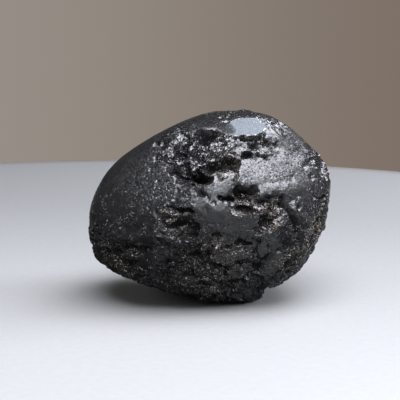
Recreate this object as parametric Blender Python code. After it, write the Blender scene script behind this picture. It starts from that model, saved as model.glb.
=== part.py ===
"""Tektite: a pebble of black natural glass, splashed out molten by a meteorite's impact.

It is one solid in one piece. It starts as a tilted egg. Wear has ground flats on it,
knocks have struck small facets off it, and etching has opened pits, cracks and rough
patches in its skin. It rests on a small flat of its own.

Metres, +Z up. The richest side faces -Y. The origin is on the surface that the stone
rests on, under the middle of the stone's bounding box.
"""

import math
from dataclasses import dataclass

import bmesh
import bpy
import numpy as np
from mathutils import Vector, noise

MM = 0.001

# Driving dimensions: half sizes of the egg along its own axes, before wear.
HALF_LENGTH = 29.2 * MM
HALF_DEPTH = 22.0 * MM
HALF_HEIGHT = 21.6 * MM
LONG_AXIS_RISE = 13.0  # degrees that the long axis climbs towards +X

RESTING_DROP = 20.6 * MM  # from the egg's middle down to the resting flat

# The skin's own unevenness: swells all over, and ragged relief in the rough patches.
SWELL_HEIGHT = 0.35 * MM
SWELL_SPACING = 13.0 * MM
RAGGED_HEIGHT = 0.7 * MM
RAGGED_SPACING = 3.0 * MM
CHIP_SIZE = 3.6 * MM  # of the slanting flakes that the rough patches are broken into
CHIP_SLANT = 0.9
CHIP_SEAM = 0.5  # how wide the steps between flakes are, as a share of their size
CHIP_STAND = 0.25 * MM  # most that a flake stands out of the skin
CHIP_STRETCH = Vector((0.62, 1.0, 1.1))  # flakes are longest from side to side
WEATHERING = 0.8  # how ragged the low skin is, which has lain longest in the ground
WEATHER_LINE = 3.0 * MM  # above the egg's middle, where that begins
WEATHER_FADE = 10.0 * MM
OUTLINE_WANDER = 0.9 * MM  # how far the edges of pits and patches stray
WANDER_SPACING = 2.6 * MM

BALL_SUBDIVISIONS = 7  # of the fine ball that the form is worked on
TRIANGLES_KEPT = 9300  # once flat stretches are thinned out
NEAR_LEVEL = 0.05  # least cosine at which a ground plane still meets a ray
SHARP_EDGE = math.radians(35.0)

GLASS_COLOUR = (0.012, 0.012, 0.013, 1.0)
GLASS_ROUGHNESS = 0.35


@dataclass(frozen=True)
class Flat:
    """A flat ground on the stone where its skin faces (azimuth, elevation), in degrees.

    Azimuth 0 faces -Y and 90 faces +X. The flat lies cut metres below the highest skin,
    and its edge is rounded over rounding metres.
    """

    name: str
    azimuth: float
    elevation: float
    cut: float
    rounding: float


@dataclass(frozen=True)
class Facet:
    """A small flat struck off where the ray at (azimuth, elevation) leaves the stone.

    Everything within reach metres of there is taken down to the one plane. Clear is how
    little it has been etched since, from 0, as the skin round it, to 1, not at all.
    """

    name: str
    azimuth: float
    elevation: float
    reach: float
    clear: float = 0.25


@dataclass(frozen=True)
class Oval:
    """A pit, centred where the ray at (azimuth, elevation) leaves the stone, or a lump.

    Length and width are across the mouth. Turn is the length's angle from level,
    anticlockwise seen from outside, in degrees. Power 0.5 is a round bubble with an
    upright rim, 1 is a dish, and more is softer. A lump's depth is negative.
    """

    name: str
    azimuth: float
    elevation: float
    length: float
    width: float
    depth: float
    turn: float = 0.0
    power: float = 0.8


@dataclass(frozen=True)
class Crack:
    """An open crack, groove or gouge that follows (azimuth, elevation) points on the skin."""

    name: str
    route: tuple
    width: float
    depth: float


@dataclass(frozen=True)
class Patch:
    """A stretch of ragged skin, reach metres across from its middle."""

    name: str
    azimuth: float
    elevation: float
    reach: float


WORN_FLATS = (
    Flat("upper_left_flank", -102, 59, 1.6 * MM, 3.0 * MM),
    Flat("upper_left_shoulder", -97, 28, 0.5 * MM, 3.0 * MM),
    Flat("left_end", -92, -4, 0.3 * MM, 3.0 * MM),
    Flat("right_end", 92, 0, 2.3 * MM, 4.0 * MM),
    Flat("right_low_end", 84, -22, 0.9 * MM, 4.0 * MM),
    Flat("right_high_end", 90, 43, 1.2 * MM, 4.0 * MM),
    Flat("lower_left", -66, -68, 2.9 * MM, 3.0 * MM),
    Flat("front_upper_left", -35, 34, 1.6 * MM, 5.0 * MM),
    Flat("front_upper_right", 32, 36, 1.2 * MM, 5.0 * MM),
    Flat("front_middle", 4, 7, 0.3 * MM, 3.0 * MM),
    Flat("front_lower", 0, -27, 1.0 * MM, 6.0 * MM),
    Flat("back_lower", 160, -18, 2.2 * MM, 5.0 * MM),
    Flat("back_upper_left", -150, 30, 1.3 * MM, 4.0 * MM),
    Flat("back_upper_right", 140, 42, 1.5 * MM, 4.0 * MM),
)

STRUCK_FACETS = (
    Facet("top_mirror", 40, 60, 2.9 * MM, 1.0),
    Facet("top_chip", 66, 49, 2.0 * MM, 0.6),
    Facet("top_chip_far", 82, 44, 2.0 * MM, 0.4),
    Facet("lower_right_pane", 35, -15, 2.7 * MM, 0.5),
    Facet("right_pane", 40, -27, 2.5 * MM, 0.5),
    Facet("lower_middle_pane", 9, -21, 2.0 * MM, 0.4),
    Facet("low_pane", 21, -33, 1.9 * MM, 0.4),
    Facet("left_pane", -44, -3, 2.6 * MM, 0.3),
    Facet("left_low_pane", -34, -19, 2.0 * MM, 0.4),
    Facet("back_pane", 178, 12, 5.0 * MM),
    Facet("back_low_pane", -140, -34, 4.4 * MM),
    Facet("back_right_pane", 128, -14, 4.0 * MM),
)

LUMPS = (
    Oval("low_right_bulge", 62, -60, 20.0 * MM, 14.0 * MM, -1.2 * MM, 0, 2.0),
    Oval("top_knob", 100, 71, 5.0 * MM, 3.6 * MM, -0.4 * MM, 20, 1.6),
    Oval("right_knob", 84, 26, 4.6 * MM, 3.6 * MM, -0.3 * MM, 0, 1.6),
    Oval("right_low_knob", 80, -8, 4.0 * MM, 5.0 * MM, -0.6 * MM, 0, 1.6),
    Oval("bubble_ledge", -21, 11, 5.4 * MM, 1.8 * MM, -0.7 * MM, -25, 1.0),
    Oval("front_fold", 5, 9, 8.0 * MM, 4.6 * MM, -0.45 * MM, -20, 1.0),
    Oval("sheen_brow", 42, 17, 12.0 * MM, 4.0 * MM, -0.35 * MM, 0, 1.0),
    Oval("crumbled_ledge", -25, -9, 9.0 * MM, 1.6 * MM, -0.5 * MM, -14, 1.0),
    Oval("great_pit_lip", 18, 4, 6.0 * MM, 1.6 * MM, -0.5 * MM, -8, 1.0),
    Oval("second_pit_lip", 45, 5, 6.0 * MM, 1.8 * MM, -0.6 * MM, 105, 1.0),
    Oval("back_brow", 165, 20, 9.0 * MM, 2.6 * MM, -0.6 * MM, 12, 1.0),
)

PITS = (
    Oval("upper_slot", -9, 56, 5.2 * MM, 3.8 * MM, 2.6 * MM, -8, 0.6),
    Oval("left_peck", -58, 47, 2.2 * MM, 1.6 * MM, 0.8 * MM, 30),
    Oval("left_peck_small", -50, 50, 1.8 * MM, 1.4 * MM, 0.6 * MM),
    Oval("lens", 26, 41, 3.4 * MM, 2.0 * MM, 1.4 * MM, -12, 0.6),
    Oval("cluster_near", 36, 45, 2.4 * MM, 1.8 * MM, 0.8 * MM, 40),
    Oval("cluster_middle", 45, 45, 2.8 * MM, 1.9 * MM, 0.9 * MM, -20),
    Oval("cluster_far", 52, 42, 2.2 * MM, 1.6 * MM, 0.8 * MM, 10),
    Oval("right_slit", 68, 27, 3.6 * MM, 1.5 * MM, 0.9 * MM, 5),
    Oval("great_pit", 18, 13, 8.2 * MM, 6.4 * MM, 1.3 * MM, -15, 0.6),
    Oval("great_pit_lobe_left", 17, 20, 3.4 * MM, 2.2 * MM, 1.5 * MM, 20, 0.6),
    Oval("great_pit_lobe_right", 23, 19, 3.2 * MM, 2.4 * MM, 1.5 * MM, -10, 0.6),
    Oval("great_pit_sump", 19, 7, 4.8 * MM, 2.0 * MM, 1.5 * MM, -14, 0.6),
    Oval("second_pit", 35, 7, 7.6 * MM, 7.0 * MM, 0.9 * MM, 60, 0.7),
    Oval("second_pit_hole", 30, 1, 3.2 * MM, 3.6 * MM, 1.7 * MM, 0, 0.5),
    Oval("bubble_dish", -20, 4, 9.0 * MM, 7.6 * MM, 0.7 * MM, 10, 1.0),
    Oval("bubble", -17, -3, 6.4 * MM, 5.8 * MM, 2.0 * MM, 0, 0.5),
    Oval("bubble_slit", -17, 9, 4.2 * MM, 1.4 * MM, 1.1 * MM, -8, 0.6),
    Oval("low_hollow", -1, -23, 7.0 * MM, 5.0 * MM, 0.7 * MM, -30, 1.0),
    Oval("right_edge_pit", 60, -3, 3.4 * MM, 2.6 * MM, 0.8 * MM, 70),
    Oval("low_right_notch", 72, -54, 8.0 * MM, 4.0 * MM, 1.5 * MM, 0, 0.7),
    Oval("left_edge_pit", -66, -7, 3.2 * MM, 2.4 * MM, 0.7 * MM, 40),
    Oval("back_great_pit", -165, 30, 8.0 * MM, 5.4 * MM, 1.7 * MM, 25, 0.6),
    Oval("back_bubble", 150, 8, 4.0 * MM, 3.8 * MM, 1.6 * MM, 0, 0.5),
    Oval("back_bubble_small", 162, 1, 2.4 * MM, 2.2 * MM, 1.0 * MM, 0, 0.5),
    Oval("back_hollow", -140, -5, 7.4 * MM, 4.6 * MM, 1.2 * MM, -35, 0.7),
    Oval("back_low_pit", 175, -32, 5.2 * MM, 3.6 * MM, 1.2 * MM, 15, 0.6),
    Oval("right_end_pit", 98, 20, 4.6 * MM, 3.4 * MM, 1.3 * MM, -25, 0.6),
    Oval("right_end_peck", 108, -8, 2.8 * MM, 2.2 * MM, 0.8 * MM, 50),
    Oval("left_end_pit", -108, -14, 4.2 * MM, 3.0 * MM, 1.1 * MM, 20, 0.6),
    Oval("top_peck", 150, 70, 3.4 * MM, 2.4 * MM, 0.9 * MM, 35, 0.6),
)

CRACKS = (
    Crack("slanting_gouge", ((-27, 49), (-29, 43), (-34, 36)), 3.2 * MM, 2.5 * MM),
    Crack("slot_under_mirror", ((29, 53), (36, 50), (46, 50)), 1.8 * MM, 1.3 * MM),
    Crack("great_gouge", ((-2, 34), (7, 36), (15, 35)), 3.0 * MM, 2.1 * MM),
    Crack("great_gouge_tail", ((14, 34), (15, 29), (13, 24)), 0.9 * MM, 0.6 * MM),
    Crack("star_left_arm", ((-30, 30), (-20, 33), (-12, 29)), 1.9 * MM, 1.5 * MM),
    Crack("star_right_arm", ((-12, 29), (-3, 26)), 2.4 * MM, 1.8 * MM),
    Crack("star_lower_arm", ((-8, 27), (-7, 17)), 1.7 * MM, 1.3 * MM),
    Crack("mirror_side", ((64, 60), (58, 53)), 0.9 * MM, 0.6 * MM),
    Crack("great_pit_branch", ((4, 17), (11, 15)), 1.4 * MM, 1.0 * MM),
    Crack("second_pit_rim", ((40, 13), (43, 3), (46, -6)), 1.3 * MM, 0.9 * MM),
    Crack("rusty_crevice", ((-57, -16), (-48, -13), (-41, -14)), 2.0 * MM, 1.6 * MM),
    Crack("low_scoop", ((-10, -26), (1, -31), (11, -32)), 2.6 * MM, 1.2 * MM),
    Crack("low_groove", ((35, -21), (32, -32), (25, -39), (15, -45)), 2.1 * MM, 1.6 * MM),
    Crack("lower_left_crease", ((-54, -23), (-47, -31)), 1.3 * MM, 0.8 * MM),
    Crack("low_slit", ((-30, -22), (-31, -33)), 1.4 * MM, 0.9 * MM),
    Crack("back_gouge", ((172, 44), (-176, 38), (-168, 40), (-158, 36)), 2.6 * MM, 1.6 * MM),
    Crack("back_crack", ((125, 22), (134, 14), (139, 2), (136, -10)), 1.5 * MM, 1.1 * MM),
    Crack("left_end_crack", ((-88, 24), (-95, 14), (-97, 3)), 1.4 * MM, 0.9 * MM),
)

ROUGH_PATCHES = (
    Patch("band_left", -36, 46, 6.0 * MM),
    Patch("band_middle", -4, 46, 6.5 * MM),
    Patch("band_under_mirror", 16, 47, 5.0 * MM),
    Patch("great_gouge_floor", 7, 35, 4.4 * MM),
    Patch("band_right", 42, 45, 5.0 * MM),
    Patch("band_chips", 72, 50, 3.6 * MM),
    Patch("band_star", -14, 31, 5.0 * MM),
    Patch("great_pit_floor", 18, 13, 5.0 * MM),
    Patch("second_pit_floor", 34, 8, 4.5 * MM),
    Patch("bubble_surround", -22, 4, 4.6 * MM),
    Patch("low_middle", -2, -25, 7.5 * MM),
    Patch("low_front", -20, -34, 7.0 * MM),
    Patch("low_right", 26, -40, 6.0 * MM),
    Patch("low_left", -42, -32, 6.5 * MM),
    Patch("low_keel", 2, -48, 8.0 * MM),
    Patch("low_right_keel", 50, -44, 6.5 * MM),
    Patch("right_edge", 66, 0, 7.0 * MM),
    Patch("right_high_edge", 78, 24, 6.0 * MM),
    Patch("right_low_edge", 52, -25, 5.0 * MM),
    Patch("left_edge", -68, -9, 5.0 * MM),
    Patch("left_low_edge", -52, -22, 6.0 * MM),
    Patch("back_band", -170, 38, 9.0 * MM),
    Patch("back_middle", 145, 4, 7.0 * MM),
    Patch("back_high", 150, 64, 5.0 * MM),
    Patch("left_back", -122, 22, 5.0 * MM),
    Patch("back_low", 165, -30, 8.0 * MM),
    Patch("back_left", -130, -12, 7.0 * MM),
    Patch("right_end_patch", 100, 14, 6.0 * MM),
    Patch("underside", 40, -72, 7.0 * MM),
)


def facing(azimuth, elevation):
    """The unit vector along an azimuth and an elevation, in degrees."""
    turn, rise = math.radians(azimuth), math.radians(elevation)
    level = math.cos(rise)
    return np.array([math.sin(turn) * level, -math.cos(turn) * level, math.sin(rise)])


def rounded_min(first, second, rounding):
    """The lesser of two lengths, blended over rounding metres where they are nearly equal."""
    share = np.clip(0.5 + 0.5 * (second - first) / rounding, 0.0, 1.0)
    return second + (first - second) * share - rounding * share * (1.0 - share)


def smooth_step(value):
    """0 below 0 and 1 above 1, with a soft rise between."""
    value = np.clip(value, 0.0, 1.0)
    return value * value * (3.0 - 2.0 * value)


def skin_noise(points, spacing, place):
    """Gradient noise from about -1 to 1 at each point, its bumps spacing metres apart."""
    shift = Vector(place)
    return np.array([noise.noise(Vector(point) / spacing + shift) for point in points])


def skin_wander(points, spacing):
    """A vector of gradient noise at each point."""
    places = ((0.4, 8.8, 2.6), (17.1, 3.5, 6.2), (5.9, 21.3, 11.7))
    return np.stack([skin_noise(points, spacing, place) for place in places], axis=1)


def flake_dip(place, flake):
    """How far one slanting flake lies below the skin, at a place in units of its size."""
    lean = noise.cell_vector(flake * 97.0) - Vector((0.5, 0.5, 0.5))
    return CHIP_SLANT * CHIP_SIZE * lean.dot(place - flake)


def chip_relief(points):
    """How far the skin is below its level at each point, once broken into flakes."""
    dips = []
    for point in points:
        place = Vector(point) * CHIP_STRETCH / CHIP_SIZE
        gaps, flakes = noise.voronoi(place)
        share = min(1.0, 0.5 + (gaps[1] - gaps[0]) / CHIP_SEAM)
        near, next_near = flake_dip(place, flakes[0]), flake_dip(place, flakes[1])
        dips.append(share * near + (1.0 - share) * next_near)
    return np.maximum(dips, -CHIP_STAND)


def egg_radius(rays):
    """How far the unworn egg's skin is from its middle along each unit ray."""
    rise = math.radians(LONG_AXIS_RISE)
    along = rays[:, 0] * math.cos(rise) + rays[:, 2] * math.sin(rise)
    across = rays[:, 2] * math.cos(rise) - rays[:, 0] * math.sin(rise)
    spread = (along / HALF_LENGTH) ** 2 + (rays[:, 1] / HALF_DEPTH) ** 2
    return (spread + (across / HALF_HEIGHT) ** 2) ** -0.5


def grind(rays, radius, flat):
    """The radius once a flat is ground on the stone."""
    slope = rays @ facing(flat.azimuth, flat.elevation)
    level = (radius * slope).max() - flat.cut
    plane = np.where(slope > NEAR_LEVEL, level / np.maximum(slope, NEAR_LEVEL), HALF_LENGTH * 9)
    return rounded_min(radius, plane, flat.rounding)


def strike(rays, radius, facet):
    """The radius once a small facet is struck off the stone, and which rays it is on."""
    points = rays * radius[:, None]
    centre = skin_point(rays, radius, facet.azimuth, facet.elevation)
    near = points[np.linalg.norm(points - centre, axis=1) < facet.reach]
    normal = np.linalg.svd(near - near.mean(axis=0))[2][-1]
    normal = normal * np.sign(normal @ centre)
    slope = rays @ normal
    level = (near @ normal).min()
    plane = np.where(slope > NEAR_LEVEL, level / np.maximum(slope, NEAR_LEVEL), HALF_LENGTH * 9)
    return np.minimum(radius, plane), plane < radius


def skin_point(rays, radius, azimuth, elevation):
    """Where the ray at an azimuth and an elevation leaves the stone."""
    direction = facing(azimuth, elevation)
    return direction * radius[np.argmax(rays @ direction)]


def oval_depth(points, centre, pit):
    """How deep a pit or a lump is at each point."""
    outward = facing(pit.azimuth, pit.elevation)
    level = facing(pit.azimuth + 90.0, 0.0)
    upward = np.cross(outward, level)
    turn = math.radians(pit.turn)
    offset = points - centre
    along = offset @ (level * math.cos(turn) + upward * math.sin(turn))
    across = offset @ (upward * math.cos(turn) - level * math.sin(turn))
    spread = (2.0 * along / pit.length) ** 2 + (2.0 * across / pit.width) ** 2
    inside = np.clip(1.0 - spread, 0.0, 1.0) * (points @ outward > 0.0)
    return pit.depth * inside**pit.power


def crack_depth(points, centres, crack):
    """How deep a crack is at each point: a steep furrow along its route."""
    nearest = np.full(len(points), np.inf)
    for start, end in zip(centres, centres[1:]):
        run = end - start
        share = np.clip((points - start) @ run / (run @ run), 0.0, 1.0)
        away = np.linalg.norm(points - start - share[:, None] * run, axis=1)
        nearest = np.minimum(nearest, away)
    inside = np.clip(1.0 - 2.0 * nearest / crack.width, 0.0, 1.0)
    return crack.depth * inside**0.6


def roughness(points, rays, radius):
    """How ragged the patches make the skin at each point, from 0 to 1."""
    ragged = np.zeros(len(points))
    for patch in ROUGH_PATCHES:
        centre = skin_point(rays, radius, patch.azimuth, patch.elevation)
        away = np.linalg.norm(points - centre, axis=1)
        ragged = np.maximum(ragged, smooth_step(2.0 * (1.0 - away / patch.reach)))
    return ragged


def stone_radius(rays):
    """How far the finished skin is from the egg's middle along each unit ray."""
    radius = egg_radius(rays)
    for flat in WORN_FLATS:
        radius = grind(rays, radius, flat)
    points = rays * radius[:, None]
    radius = radius + SWELL_HEIGHT * skin_noise(points, SWELL_SPACING, (3.1, 0.7, 5.2))
    clear = np.zeros(len(rays))
    for facet in STRUCK_FACETS:
        radius, struck = strike(rays, radius, facet)
        clear = np.maximum(clear, facet.clear * struck)

    points = rays * radius[:, None]
    stray = OUTLINE_WANDER * skin_wander(points, WANDER_SPACING)
    strayed = points + stray - rays * (stray * rays).sum(axis=1)[:, None]
    sunk = np.zeros(len(rays))
    for oval in LUMPS + PITS:
        centre = skin_point(rays, radius, oval.azimuth, oval.elevation)
        sunk += oval_depth(strayed, centre, oval)
    for crack in CRACKS:
        centres = [skin_point(rays, radius, *place) for place in crack.route]
        sunk += crack_depth(strayed, centres, crack)
    weathered = WEATHERING * smooth_step((WEATHER_LINE - points[:, 2]) / WEATHER_FADE)
    rough = np.maximum(roughness(strayed, rays, radius), weathered) * (1.0 - clear)
    ragged = RAGGED_HEIGHT * np.abs(skin_noise(points, RAGGED_SPACING, (7.3, 1.9, 4.4)))
    sunk += (ragged + chip_relief(strayed)) * rough
    return radius - sunk


def shaped_ball():
    """A bmesh of the fine ball, with each corner moved onto the stone's skin."""
    ball = bmesh.new()
    bmesh.ops.create_icosphere(ball, subdivisions=BALL_SUBDIVISIONS, radius=1.0)
    rays = np.array([corner.co.normalized() for corner in ball.verts])
    points = rays * stone_radius(rays)[:, None]
    for corner, point in zip(ball.verts, points):
        corner.co = point
    return ball


def thinned_mesh(ball):
    """The ball's mesh with triangles taken out where the skin is nearly flat."""
    dense = bpy.data.meshes.new("dense")
    ball.to_mesh(dense)
    holder = bpy.data.objects.new("dense", dense)
    bpy.context.scene.collection.objects.link(holder)
    thin = holder.modifiers.new("thin", "DECIMATE")
    thin.ratio = TRIANGLES_KEPT / len(dense.polygons)
    graph = bpy.context.evaluated_depsgraph_get()
    mesh = bpy.data.meshes.new_from_object(holder.evaluated_get(graph))
    bpy.data.objects.remove(holder)
    return mesh


def cut_resting_flat(mesh):
    """Slices the underside off level and sets the stone down with the origin under its box."""
    stone = bmesh.new()
    stone.from_mesh(mesh)
    everything = stone.verts[:] + stone.edges[:] + stone.faces[:]
    bmesh.ops.bisect_plane(
        stone,
        geom=everything,
        plane_co=(0.0, 0.0, -RESTING_DROP),
        plane_no=(0.0, 0.0, -1.0),
        clear_outer=True,
    )
    rim = [edge for edge in stone.edges if edge.is_boundary]
    bmesh.ops.triangle_fill(stone, edges=rim, use_beauty=True, normal=(0.0, 0.0, -1.0))
    bmesh.ops.recalc_face_normals(stone, faces=stone.faces)
    corners = np.array([corner.co for corner in stone.verts])
    middle = 0.5 * (corners.min(axis=0) + corners.max(axis=0))
    to_floor = Vector((-middle[0], -middle[1], RESTING_DROP))
    bmesh.ops.translate(stone, verts=stone.verts, vec=to_floor)
    for corner in stone.verts:
        if abs(corner.co.z) < 1e-6:
            corner.co.z = 0.0
    stone.to_mesh(mesh)
    mesh.shade_smooth()
    mesh.set_sharp_from_angle(angle=SHARP_EDGE)


def black_glass():
    """The stone's glass: near black, with a satin sheen."""
    material = bpy.data.materials.new("tektite_glass")
    material.use_nodes = True
    shader = material.node_tree.nodes["Principled BSDF"]
    shader.inputs["Base Color"].default_value = GLASS_COLOUR
    shader.inputs["Roughness"].default_value = GLASS_ROUGHNESS
    shader.inputs["Metallic"].default_value = 0.0
    material.diffuse_color = GLASS_COLOUR
    return material


def clear_scene():
    """Removes every object that the file starts with."""
    for leftover in list(bpy.data.objects):
        bpy.data.objects.remove(leftover)


def main():
    """Builds the stone."""
    clear_scene()
    mesh = thinned_mesh(shaped_ball())
    cut_resting_flat(mesh)
    mesh.name = "tektite"
    mesh.materials.append(black_glass())
    stone = bpy.data.objects.new("tektite", mesh)
    group = bpy.data.collections.new("tektite")
    bpy.context.scene.collection.children.link(group)
    group.objects.link(stone)


if __name__ == "__main__":
    main()
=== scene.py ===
"""The tektite's looks: the fine skin of the stone, its glass, and a plain studio to see it in.

Metres, +Z up, in the frame of the solid. The richest side faces -Y. Directions on the
stone are pairs of an azimuth and an elevation in degrees, seen from the middle of the egg
that the stone was before wear: azimuth 0 faces -Y and 90 faces +X.
"""

import logging
import math
from dataclasses import dataclass
from enum import Enum

import bmesh
import bpy
import numpy as np
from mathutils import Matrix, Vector, noise


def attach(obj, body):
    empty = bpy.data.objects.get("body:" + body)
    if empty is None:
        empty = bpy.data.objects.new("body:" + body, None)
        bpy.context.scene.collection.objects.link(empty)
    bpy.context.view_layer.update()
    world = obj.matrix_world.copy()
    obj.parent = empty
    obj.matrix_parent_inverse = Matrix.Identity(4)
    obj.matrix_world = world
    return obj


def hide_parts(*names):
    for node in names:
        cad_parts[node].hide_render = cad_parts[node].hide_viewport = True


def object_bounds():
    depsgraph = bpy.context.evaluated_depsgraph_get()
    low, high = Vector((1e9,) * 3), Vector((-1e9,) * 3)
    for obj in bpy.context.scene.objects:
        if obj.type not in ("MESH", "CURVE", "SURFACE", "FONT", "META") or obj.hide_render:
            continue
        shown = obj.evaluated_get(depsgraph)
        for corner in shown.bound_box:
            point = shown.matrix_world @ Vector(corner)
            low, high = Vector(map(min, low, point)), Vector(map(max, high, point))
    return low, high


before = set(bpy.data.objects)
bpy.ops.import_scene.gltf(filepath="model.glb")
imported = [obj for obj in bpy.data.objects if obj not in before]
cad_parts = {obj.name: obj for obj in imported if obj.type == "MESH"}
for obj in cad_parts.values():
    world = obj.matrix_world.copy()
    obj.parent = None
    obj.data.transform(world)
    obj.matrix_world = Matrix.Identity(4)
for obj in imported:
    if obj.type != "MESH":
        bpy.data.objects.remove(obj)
CAD_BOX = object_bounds()

MM = 0.001
Direction = tuple[float, float]
Place = tuple[float, float, float]
Colour = tuple[float, float, float, float]
Step = tuple[float, float]

log = logging.getLogger("tektite")


class Hollow(Enum):
    """How a pit's wall rises from its floor: the power of its bowl."""

    BUBBLE = 0.5
    PIT = 0.6
    SCOOP = 0.7
    PECK = 0.8
    DISH = 1.0
    KNOB = 1.6
    BULGE = 2.0


# The stone's form. Flats, facets, ovals, cracks and patches are given in millimetres.


@dataclass(frozen=True)
class Flat:
    """A worn flat: it faces a direction, as deep as its cut below the highest skin there."""

    facing: Direction
    cut: float
    rounding: float


@dataclass(frozen=True)
class Facet:
    """A small struck facet: all within reach of its middle is taken down to one plane.

    Clear is how fresh it is, from 0, worn as the rest of the skin, to 1, like a mirror.
    """

    middle: Direction
    reach: float
    clear: float = 0.25


@dataclass(frozen=True)
class Oval:
    """A pit, or a lump where the depth is negative, with its length turned from level."""

    middle: Direction
    length: float
    width: float
    depth: float
    turn: float = 0.0
    hollow: Hollow = Hollow.PECK


@dataclass(frozen=True)
class Crack:
    """An open crack, groove or gouge that follows a route over the skin."""

    route: tuple[Direction, ...]
    width: float
    depth: float


@dataclass(frozen=True)
class Patch:
    """A round stretch of skin, how far it reaches, and how strong its mark is."""

    middle: Direction
    reach: float
    strength: float = 1.0


@dataclass(frozen=True)
class Flaking:
    """How a rough patch is broken into slanting flakes, longest from side to side.

    Size is the distance between the flakes, slant how steeply they lie, seam how wide their
    joints are, in flakes, and stand how far they may rise above the skin.
    """

    size: float
    slant: float
    seam: float
    stand: float

    STRETCH = Vector((0.62, 1.0, 1.1))
    LEAN_SPREAD = 97.0


@dataclass(frozen=True)
class Unevenness:
    """Bumps all over the skin: their height, their spacing and their own stretch of noise."""

    height: float
    spacing: float
    place: Place = (0.0, 0.0, 0.0)

    WANDER_PLACES = ((0.4, 8.8, 2.6), (17.1, 3.5, 6.2), (5.9, 21.3, 11.7))

    def over(self, points: np.ndarray) -> np.ndarray:
        """Returns how high the bumps are at each point, up or down."""
        return self.height * bumps(points, self.spacing, self.place)

    def wander(self, points: np.ndarray) -> np.ndarray:
        """Returns how far each point is moved, a vector for each."""
        parts = [bumps(points, self.spacing, place) for place in self.WANDER_PLACES]
        return self.height * np.stack(parts, axis=1)


WORN_FLATS = {
    "upper left flank": Flat((-102, 59), 1.6, 3),
    "upper left shoulder": Flat((-97, 28), 0.5, 3),
    "left end": Flat((-92, -4), 0.3, 3),
    "right end": Flat((92, 0), 2.3, 4),
    "right low end": Flat((84, -22), 0.9, 4),
    "right high end": Flat((90, 43), 1.2, 4),
    "lower left": Flat((-66, -68), 2.9, 3),
    "front upper left": Flat((-35, 34), 1.6, 5),
    "front upper right": Flat((32, 36), 1.2, 5),
    "front middle": Flat((4, 7), 0.3, 3),
    "front lower": Flat((0, -27), 1, 6),
    "back lower": Flat((160, -18), 2.2, 5),
    "back upper left": Flat((-150, 30), 1.3, 4),
    "back upper right": Flat((140, 42), 1.5, 4),
}

STRUCK_FACETS = {
    "top mirror": Facet((40, 60), 2.9, 1.0),
    "top chip": Facet((66, 49), 2, 0.6),
    "top chip far": Facet((82, 44), 2, 0.4),
    "lower right pane": Facet((35, -15), 2.7, 0.5),
    "right pane": Facet((40, -27), 2.5, 0.5),
    "lower middle pane": Facet((9, -21), 2, 0.4),
    "low pane": Facet((21, -33), 1.9, 0.4),
    "left pane": Facet((-44, -3), 2.6, 0.3),
    "left low pane": Facet((-34, -19), 2, 0.4),
    "back pane": Facet((178, 12), 5),
    "back low pane": Facet((-140, -34), 4.4),
    "back right pane": Facet((128, -14), 4),
}

LUMPS = {
    "low right bulge": Oval((62, -60), 20, 14, -1.2, 0, Hollow.BULGE),
    "top knob": Oval((100, 71), 5, 3.6, -0.4, 20, Hollow.KNOB),
    "right knob": Oval((84, 26), 4.6, 3.6, -0.3, 0, Hollow.KNOB),
    "right low knob": Oval((80, -8), 4, 5, -0.6, 0, Hollow.KNOB),
    "bubble ledge": Oval((-21, 11), 5.4, 1.8, -0.7, -25, Hollow.DISH),
    "front fold": Oval((5, 9), 8, 4.6, -0.45, -20, Hollow.DISH),
    "sheen brow": Oval((42, 17), 12, 4, -0.35, 0, Hollow.DISH),
    "crumbled ledge": Oval((-25, -9), 9, 1.6, -0.5, -14, Hollow.DISH),
    "great pit lip": Oval((18, 4), 6, 1.6, -0.5, -8, Hollow.DISH),
    "second pit lip": Oval((45, 5), 6, 1.8, -0.6, 105, Hollow.DISH),
    "back brow": Oval((165, 20), 9, 2.6, -0.6, 12, Hollow.DISH),
}

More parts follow.
